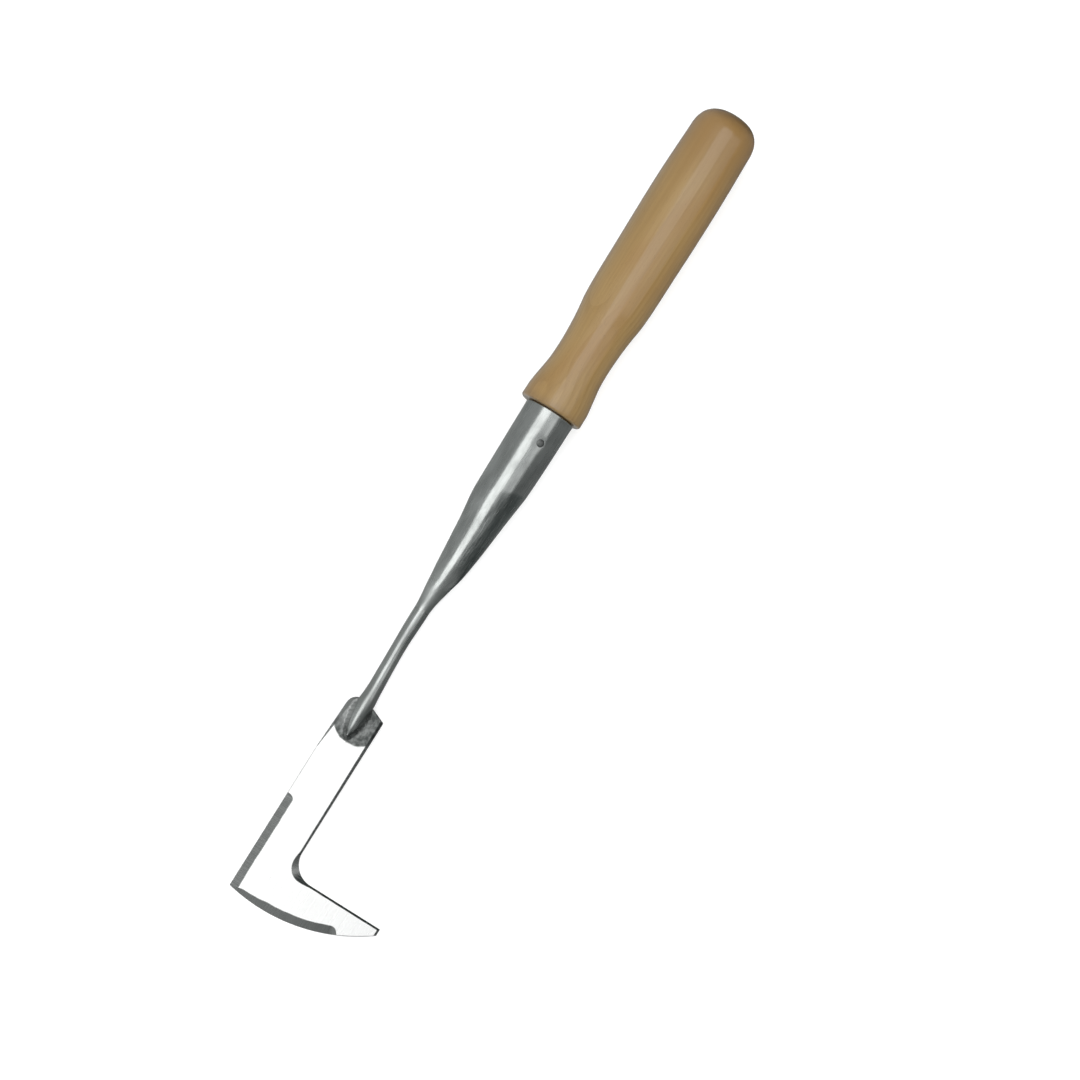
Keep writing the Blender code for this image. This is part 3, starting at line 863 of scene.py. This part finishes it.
def fillet_weld_path():
    """Places along the weld with the direction away from the tongue."""
    sides = spaced(FILLET_WELD_START, FILLET_WELD_SIDE_END, FILLET_WELD_STEPS)
    path = [weld_side(x, 1.0) for x in sides]
    tip = Vector((FILLET_WELD_TIP, 0.0))
    for turn in spaced(*FILLET_WELD_TIP_TURNS, FILLET_WELD_TIP_STEPS):
        out = Vector((-math.sin(turn), math.cos(turn)))
        path.append((tip + out * FILLET_WELD_TIP_REACH, out))
    return path + [weld_side(x, -1.0) for x in reversed(sides)]


def fillet_weld_size(place, number, last):
    """Share of the bead's full size at one of its places: rippled, and smaller at both ends."""
    swell = 1.0 + 0.10 * math.sin(number * 0.75)
    swell += 0.16 * noise.noise(Vector((place.x * 700.0, place.y * 700.0, 3.0)))
    from_end = min(number, last - number) / FILLET_WELD_END_STEPS
    return swell * min(1.0, 0.35 + 0.65 * from_end)


def make_fillet_weld(finish):
    """Rippled bead laid round the tongue, fused with it and with the blade's face."""
    rings = []
    path = fillet_weld_path()
    for number, (place, out) in enumerate(path):
        size = fillet_weld_size(place, number, len(path) - 1)
        ring = []
        for share in spaced(0.0, 1.0, FILLET_WELD_SECTION_STEPS):
            spot = place + out * size * FILLET_WELD_WIDTH * (1.0 - share)
            rise = size * FILLET_WELD_HEIGHT * share ** 1.5
            ring.append((spot.x, spot.y + centre_y(place.x), BLADE_FRONT + rise))
        ring.append((place.x, place.y + centre_y(place.x), BLADE_FRONT - FILLET_WELD_ROOT))
        rings.append(ring)
    shape = bmesh.new()
    made = ring_skin(shape, rings)
    shape.faces.new(made[0])
    shape.faces.new(made[-1])
    return new_piece("blade_weld_bead", shape, [finish], smooth_angle=60.0)


# Shader nodes


def fill(node, **values):
    """Set a node's own sockets; a name's underscores stand for spaces."""
    for name, value in values.items():
        node.inputs[name.replace("_", " ")].default_value = value


def plug(tree, value, socket):
    """Link an output to a socket, or set its own value."""
    if isinstance(value, bpy.types.NodeSocket):
        tree.links.new(value, socket)
    else:
        socket.default_value = value


def map_range(tree, value, ends, out_ends, kind="SMOOTHSTEP"):
    """Value taken from between two ends to between two others."""
    node = tree.nodes.new("ShaderNodeMapRange")
    node.interpolation_type = kind
    sockets = ("Value", "From Min", "From Max", "To Min", "To Max")
    for name, part in zip(sockets, (value, *ends, *out_ends)):
        plug(tree, part, node.inputs[name])
    return node.outputs["Result"]


def mix_colours(tree, share, first, second):
    """Colour between two colours; the numbers are the node's colour sockets."""
    node = tree.nodes.new("ShaderNodeMix")
    node.data_type = "RGBA"
    for socket, value in ((0, share), (6, first), (7, second)):
        plug(tree, value, node.inputs[socket])
    return node.outputs[2]


def arithmetic(tree, kind, operation, *values):
    """One step of arithmetic; kind is Math or VectorMath."""
    node = tree.nodes.new("ShaderNode" + kind)
    node.operation = operation
    for value, socket in zip(values, node.inputs):
        plug(tree, value, socket)
    return node


# Materials


class Look:
    """A Principled material and short ways to add the nodes that feed it."""

    def __init__(self, name, roughness, metallic=0.0):
        self.material = bpy.data.materials.new(name)
        self.material.use_nodes = True
        self.tree = self.material.node_tree
        self.shader = self.tree.nodes["Principled BSDF"]
        fill(self.shader, Roughness=roughness, Metallic=metallic)
        into_tool = TOOL.inverted()
        place = self.tree.nodes.new("ShaderNodeTexCoord").outputs["Object"]
        self.place = self.mapping(place, into_tool.translation, into_tool.to_euler())

    def add(self, kind, vector, **values):
        """New node with its vector linked and its own values set."""
        node = self.tree.nodes.new("ShaderNode" + kind)
        self.tree.links.new(vector, node.inputs["Vector"])
        fill(node, **values)
        return node

    def mapping(self, vector, shift, turn, scale=(1.0, 1.0, 1.0)):
        """Vector scaled, turned (radians) and shifted."""
        return self.add("Mapping", vector, Location=shift, Rotation=turn, Scale=scale).outputs[0]

    def feed(self, value, socket):
        """Link an output to one of the shader's sockets."""
        self.tree.links.new(value, self.shader.inputs[socket])

    def mapped(self, scale, turn=(0.0, 0.0, 0.0), shift=(0.0, 0.0, 0.0)):
        """Place in the tool's frame, scaled, turned (degrees) and shifted."""
        return self.mapping(self.place, shift, [math.radians(angle) for angle in turn], scale)

    def noise(self, scale, detail, roughness, shift=(0.0, 0.0, 0.0)):
        """Noise from 0 to 1; the scale is its waves per metre along each axis."""
        place = self.mapped(scale, shift=shift)
        node = self.add("TexNoise", place, Scale=1.0, Detail=detail, Roughness=roughness)
        return node.outputs["Fac"]

    def ramp(self, value, low, high, out_low=0.0, out_high=1.0):
        """Smooth step of a value between low and high."""
        return map_range(self.tree, value, (low, high), (out_low, out_high))

    def math(self, operation, first, second=0.0):
        """One arithmetic step."""
        return arithmetic(self.tree, "Math", operation, first, second).outputs[0]

    def axes(self):
        """The three parts of the place in the tool's frame."""
        node = self.tree.nodes.new("ShaderNodeSeparateXYZ")
        self.tree.links.new(self.place, node.inputs[0])
        return node.outputs[0], node.outputs[1], node.outputs[2]

    def mix(self, share, first, second):
        """Colour between two colours."""
        return mix_colours(self.tree, share, first, second)

    def finished(self, colour, roughness, normal):
        """The material, with what feeds its colour, roughness and normal."""
        self.feed(colour, "Base Color")
        self.feed(roughness, "Roughness")
        self.feed(normal, "Normal")
        return self.material

    def bump(self, height, distance, strength, below=None):
        """Normal from a height, on top of another bump if one is given."""
        node = self.tree.nodes.new("ShaderNodeBump")
        fill(node, Strength=strength, Distance=distance)
        self.tree.links.new(height, node.inputs["Height"])
        if below:
            self.tree.links.new(below, node.inputs["Normal"])
        return node.outputs[0]

    def leaning(self, normal, lean):
        """Normal leaned toward a direction of the tool's frame."""
        lean = TOOL.to_3x3() @ Vector(lean)
        added = arithmetic(self.tree, "VectorMath", "ADD", normal, lean)
        return arithmetic(self.tree, "VectorMath", "NORMALIZE", added.outputs[0]).outputs[0]


def rgb(red, green, blue):
    """Colour socket value."""
    return (red, green, blue, 1.0)


def growth_rings(look):
    """Cathedral figure: bands round a pith that lies outside the handle, slightly askew."""
    place = look.mapped((0.16, 1.0, 1.0), turn=(0.0, -1.6, 2.4), shift=(0.0, 0.021, 0.026))
    node = look.add("TexWave", place, Scale=150.0, Distortion=2.6, Detail=2.0, Detail_Scale=0.28)
    node.wave_type = "RINGS"
    node.rings_direction = "X"
    node.wave_profile = "SAW"
    return node.outputs["Fac"]


def wood_finish():
    """Pale turned beech under satin lacquer."""
    look = Look("turned_beech", 0.42)
    fill(look.shader, Coat_Weight=1.0, Coat_Roughness=0.15, Coat_IOR=1.52)
    fill(look.shader, Specular_IOR_Level=0.25)
    rings = growth_rings(look)
    fibre = look.noise((28.0, 1100.0, 1100.0), 4.0, 0.6)
    strand = look.noise((9.0, 260.0, 260.0), 2.0, 0.5)
    patch = look.noise((17.0, 55.0, 55.0), 2.0, 0.5, shift=(3.1, 0.7, 1.9))
    fleck = look.noise((420.0, 5200.0, 5200.0), 1.0, 0.5)

    pale, tan = rgb(0.284, 0.182, 0.068), rgb(0.232, 0.137, 0.042)
    colour = look.mix(look.ramp(rings, 0.25, 1.0, 0.0, 0.55), pale, tan)
    colour = look.mix(look.ramp(strand, 0.35, 0.70, 0.0, 0.45), colour, rgb(0.306, 0.195, 0.071))
    colour = look.mix(look.ramp(patch, 0.45, 0.72, 0.0, 0.60), colour, rgb(0.255, 0.136, 0.038))
    fibre_shade = look.ramp(fibre, 0.30, 0.75, 0.0, 0.22)
    colour = look.mix(fibre_shade, colour, rgb(0.156, 0.089, 0.028))
    fleck_shade = look.ramp(fleck, 0.66, 0.78, 0.0, 0.45)
    colour = look.mix(fleck_shade, colour, rgb(0.118, 0.062, 0.023))

    x, _, _ = look.axes()
    # Painted shade: the wood made darker toward the crown
    crown_painted_shade = look.ramp(x, 0.094, CROWN_START + 0.004, 0.0, 0.85)
    colour = look.mix(crown_painted_shade, colour, rgb(0.230, 0.131, 0.043))
    end_grain = look.ramp(x, HANDLE_TOP - 0.0065, HANDLE_TOP - 0.0010, 0.0, 0.60)
    colour = look.mix(end_grain, colour, rgb(0.125, 0.072, 0.029))
    grime = look.math("MULTIPLY", look.ramp(x, 0.0045, 0.0, 0.0, 0.35), look.ramp(patch, 0.2, 0.6))
    colour = look.mix(grime, colour, rgb(0.110, 0.075, 0.045))

    rough = look.ramp(fibre, 0.2, 0.8, 0.36, 0.50)
    coarse = look.bump(rings, 0.00004, 0.35)
    fine = look.bump(fibre, 0.00006, 0.45, coarse)
    look.feed(look.leaning(coarse, COAT_LEAN), "Coat Normal")
    return look.finished(colour, rough, look.bump(fleck_shade, 0.00003, -0.6, fine))


def weld_dulling(look):
    """Extra roughness of the dressed weld, none where it meets the socket and the shank."""
    x, _, _ = look.axes()
    begins = look.ramp(x, RING_WELD_TOP, RING_WELD_TOP - 0.0050, 0.0, 0.20)
    return look.math("MULTIPLY", begins, look.ramp(x, RING_WELD_END, RING_WELD_END + 0.0040))


def steel_finish(name, colour, roughness, streaks, mottle=0.10, dull=0.0, dulling=None):
    """Bare steel drawn or polished lengthwise; streaks is the scale of its marks.

    Mottle darkens it in clouds, dull adds to its dark specks, and dulling is a function that
    makes extra roughness.
    """
    look = Look(name, roughness, metallic=1.0)
    line = look.noise(streaks, 4.0, 0.65)
    scratch = look.noise(tuple(3.1 * value for value in streaks), 2.0, 0.5)
    cloud = look.noise((70.0, 160.0, 160.0), 4.0, 0.6)
    speck = look.noise((1500.0, 1900.0, 1900.0), 2.0, 0.5)
    darker = rgb(*(channel * (1.0 - mottle * 2.5) for channel in colour))
    base = look.mix(look.ramp(cloud, 0.35, 0.70), rgb(*colour), darker)
    base = look.mix(look.ramp(speck, 0.68, 0.80, 0.0, 0.35 + dull), base, rgb(0.10, 0.10, 0.09))
    rough = look.ramp(line, 0.30, 0.72, roughness - 0.06, roughness + 0.08)
    rough = look.math("ADD", rough, look.ramp(cloud, 0.45, 0.75, 0.0, 0.06))
    if dulling:
        rough = look.math("ADD", rough, dulling(look))
    coarse = look.bump(cloud, 0.00006, 0.20)
    fine = look.bump(line, 0.00002, 0.30, coarse)
    return look.finished(base, rough, look.bump(scratch, 0.00001, 0.25, fine))


def weld_scale(look):
    """Share of dark heat scale: all of the tab down to a slightly curved, ragged line."""
    x, y, _ = look.axes()
    aside = look.math("ABSOLUTE", look.math("ADD", y, 0.0012))
    bow = look.math("MULTIPLY", look.math("POWER", aside, 3.0), 7300.0)
    ragged = look.noise((260.0, 420.0, 420.0), 3.0, 0.6)
    edge = look.math("ADD", x, look.math("MULTIPLY", ragged, 0.0011))
    edge = look.math("SUBTRACT", edge, bow)
    return look.ramp(edge, SCALE_END + 0.0001, SCALE_END + 0.0009)


def painted_side_light(look, most):
    """Share of painted light on the steel: paler away from the foot and high on the tab."""
    x, y, _ = look.axes()
    across = look.ramp(y, -0.001, 0.0035, 0.0, most)
    return look.math("MULTIPLY", across, look.ramp(x, -0.1475, -0.1395))


def blade_finish(name, steel, roughness, streaks):
    """Bright ground steel, dark and mottled where the blade was welded."""
    look = Look(name, roughness, metallic=1.0)
    scale = weld_scale(look)
    line = look.noise(streaks, 4.0, 0.7)
    deep = look.noise(tuple(0.31 * value for value in streaks), 3.0, 0.6)
    cloud = look.noise((90.0, 130.0, 130.0), 4.0, 0.6)
    blotch = look.noise((380.0, 460.0, 460.0), 5.0, 0.62)
    duller = rgb(*(0.7 * value for value in steel))
    bright = look.mix(look.ramp(deep, 0.35, 0.75, 0.0, 0.10), rgb(*steel), duller)
    dark = look.mix(look.ramp(blotch, 0.35, 0.68), rgb(0.100, 0.107, 0.104), rgb(0.27, 0.28, 0.275))
    # Painted light: the dark scale made paler away from the foot and high on the tab
    dark = look.mix(painted_side_light(look, 0.55), dark, rgb(0.42, 0.43, 0.425))
    colour = look.mix(scale, bright, dark)
    ground = look.ramp(line, 0.30, 0.72, roughness - 0.06, roughness + 0.08)
    scaled = look.ramp(blotch, 0.30, 0.70, 0.52, 0.38)
    rough = look.mix(scale, ground, scaled)
    coarse = look.bump(look.math("MULTIPLY", blotch, scale), 0.00022, 0.55)
    grind = look.bump(line, 0.00002, 0.25, look.bump(cloud, 0.00003, 0.10, coarse))
    return look.finished(colour, rough, grind)


def bead_finish():
    """Weld bead with dark scale and brighter crests, and painted light away from the foot."""
    look = Look("weld_bead", 0.42, metallic=1.0)
    blotch = look.noise((520.0, 620.0, 620.0), 5.0, 0.62)
    colour = look.mix(look.ramp(blotch, 0.35, 0.66), rgb(0.12, 0.126, 0.123), rgb(0.32, 0.33, 0.325))
    # Painted light: the bead made paler away from the foot and high on the tab
    colour = look.mix(painted_side_light(look, 0.85), colour, rgb(0.56, 0.57, 0.565))
    rough = look.ramp(blotch, 0.3, 0.7, 0.50, 0.34)
    return look.finished(colour, rough, look.bump(blotch, 0.00018, 0.5))


# Surroundings


def aimed(back, right):
    """Turn whose Z points along back and whose X leans toward right."""
    back = back.normalized()
    right = (right - back * right.dot(back)).normalized()
    return Matrix((right, back.cross(right), back)).transposed()


def look_back(item, out, right, distance):
    """Put an item a distance out from the picture's centre, facing it, its X toward right."""
    place = Matrix.Translation(PICTURE_CENTRE + out * distance)
    item.matrix_world = TOOL @ place @ aimed(out, right).to_4x4()


def make_camera():
    """Long-lens camera above the tool, turned so that the handle points up and right."""
    data = bpy.data.cameras.new("camera")
    data.lens = LENS
    data.sensor_width = SENSOR
    data.clip_end = CAMERA_REACH
    camera = add_object("camera", data)
    back = Vector((-math.sin(CAMERA_TILT), 0.0, math.cos(CAMERA_TILT)))
    along = Vector((math.cos(CAMERA_TILT), 0.0, math.sin(CAMERA_TILT)))
    right = along * math.cos(AXIS_TURN) - Vector((0.0, math.sin(AXIS_TURN), 0.0))
    look_back(camera, back, right, distance=PICTURE_SPAN * LENS / SENSOR)
    bpy.context.scene.camera = camera


def panel(name, handleward, leftward, distance, length, width, watts, glossy):
    """Soft box seen from the tool at two angles from straight up (degrees)."""
    data = bpy.data.lights.new(name, "AREA")
    data.shape = "RECTANGLE"
    data.size = length
    data.size_y = width
    data.energy = watts
    lamp = add_object(name, data)
    out = Vector((math.tan(math.radians(handleward)), math.tan(math.radians(leftward)), 1.0))
    look_back(lamp, out.normalized(), Vector(HANDLEWARD), distance)
    lamp.visible_camera = False
    lamp.visible_glossy = glossy


def direction_ramp(tree, toward, low, high, out_low, out_high):
    """Smooth step of how far a direction of view leans toward a direction in the tool's frame."""
    place = tree.nodes.new("ShaderNodeTexCoord").outputs["Generated"]
    toward = TOOL.to_3x3() @ Vector(toward)
    lean = arithmetic(tree, "VectorMath", "DOT_PRODUCT", place, toward)
    return map_range(tree, lean.outputs["Value"], (low, high), (out_low, out_high))


def make_world():
    """Dim room: grey to the left and beyond the blade, dark on the foot's side but for one wall."""
    world = bpy.data.worlds.new("room")
    world.use_nodes = True
    tree = world.node_tree
    background = tree.nodes["Background"]
    room = direction_ramp(tree, LEFT_WALL, -0.60, 0.55, 0.036, 0.37)
    right = direction_ramp(tree, FOOT_SIDE, 0.20, 0.60, 0.0, 0.17)
    handleward = direction_ramp(tree, HANDLEWARD, -0.07, 0.05, 0.0, 1.0)
    beyond = direction_ramp(tree, BLADEWARD, 0.11, 0.20, 0.0, 0.24)
    beyond_end = direction_ramp(tree, BLADEWARD, 0.40, 0.60, 1.0, 0.0)
    total = arithmetic(tree, "Math", "MULTIPLY_ADD", right, handleward, room).outputs[0]
    total = arithmetic(tree, "Math", "MULTIPLY_ADD", beyond, beyond_end, total).outputs[0]
    tree.links.new(total, background.inputs["Strength"])
    tint = map_range(tree, total, (0.04, 0.18), (0.0, 1.0), "LINEAR")
    colour = mix_colours(tree, tint, rgb(0.78, 1.0, 0.98), rgb(0.97, 1.0, 0.99))
    tree.links.new(colour, background.inputs["Color"])
    bpy.context.scene.world = world


def stage_material(name, colour, glow):
    """Matt, glowing white of the floor and the backdrop."""
    made = bpy.data.materials.new(name)
    made.use_nodes = True
    shader = made.node_tree.nodes["Principled BSDF"]
    fill(shader, Base_Color=colour, Roughness=0.9, Specular_IOR_Level=0.0)
    fill(shader, Emission_Color=rgb(1.0, 1.0, 1.0), Emission_Strength=glow)
    return made


def brighten_far_floor(made):
    """Let the floor glow more beyond the reach of the lights, so that it meets the backdrop."""
    tree = made.node_tree
    place = tree.nodes.new("ShaderNodeTexCoord").outputs["Object"]
    reach = arithmetic(tree, "VectorMath", "LENGTH", place)
    ends, glows = (FLOOR_LIT, FLOOR_UNLIT), (FLOOR_GLOW, BACKDROP_GLOW)
    glow = map_range(tree, reach.outputs["Value"], ends, glows, "LINEAR")
    tree.links.new(glow, tree.nodes["Principled BSDF"].inputs["Emission Strength"])


def make_stage():
    """Wide floor and a white backdrop, both unseen in the steel's reflections."""
    shape = bmesh.new()
    bmesh.ops.create_circle(shape, cap_ends=True, segments=96, radius=STAGE_RADIUS)
    white = stage_material("floor_white", rgb(0.55, 0.55, 0.55), FLOOR_GLOW)
    brighten_far_floor(white)
    floor = add_object("floor", plain_mesh("floor", shape, [white]))
    floor.location.z = CAD_BOUNDS[0].z - FLOOR_DROP
    floor.visible_glossy = False

    shape = bmesh.new()
    bmesh.ops.create_uvsphere(shape, u_segments=64, v_segments=32, radius=STAGE_RADIUS)
    bright = stage_material("backdrop_white", rgb(0.0, 0.0, 0.0), BACKDROP_GLOW)
    backdrop = add_object("backdrop", plain_mesh("backdrop", shape, [bright]))
    backdrop.data.shade_smooth()
    for ray in ("visible_diffuse", "visible_glossy", "visible_shadow", "visible_transmission"):
        setattr(backdrop, ray, False)


def make_lights():
    """One long soft box left of the zenith, a smaller one to the right, and overhead fill."""
    panel("key", 4.0, 17.3, distance=1.6, length=2.4, width=1.13, watts=11.5, glossy=True)
    panel("side", 18.0, -24.0, distance=1.6, length=1.12, width=1.18, watts=2.75, glossy=True)
    panel("fill", 0.0, 0.0, distance=1.9, length=3.0, width=3.0, watts=52.0, glossy=False)


def settle(piece, node):
    """Hang a piece on the root body as the stand-in for a CAD node."""
    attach(piece, "root")
    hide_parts(node)


def build():
    """Make the tool, the stage, the lights and the camera."""
    wood = wood_finish()
    drawn = steel_finish("drawn_steel", BRIGHT_STEEL, 0.21, (14.0, 1500.0, 1500.0))
    bar = steel_finish("bar_steel", BRIGHT_STEEL, 0.28, (22.0, 1900.0, 1900.0))
    streaks = (40.0, 1400.0, 1400.0)
    dressed = steel_finish("dressed_weld", DRESSED_STEEL, 0.23, streaks, dulling=weld_dulling)
    nail = steel_finish("pin_steel", NAIL_STEEL, 0.42, (400.0, 400.0, 400.0), mottle=0.2, dull=0.2)
    face = blade_finish("ground_face", FACE_STEEL, 0.30, (40.0, 2400.0, 40.0))
    side = blade_finish("side_grind", GRIND_STEEL, 0.26, (2600.0, 60.0, 60.0))
    end = blade_finish("end_grind", GRIND_STEEL, 0.26, (60.0, 2600.0, 60.0))
    bead = bead_finish()

    settle(make_handle(wood), "handle")
    settle(make_socket(drawn), "socket")
    settle(make_pin(nail), "socket_pin")
    settle(make_shank(bar), "shank")
    settle(make_ring_weld(dressed), "socket_weld")
    settle(make_blade([face, side, end]), "blade")
    settle(make_fillet_weld(bead), "blade_weld")

    make_stage()
    make_world()
    make_lights()
    make_camera()
    bpy.context.scene.view_settings.view_transform = "Standard"


build()
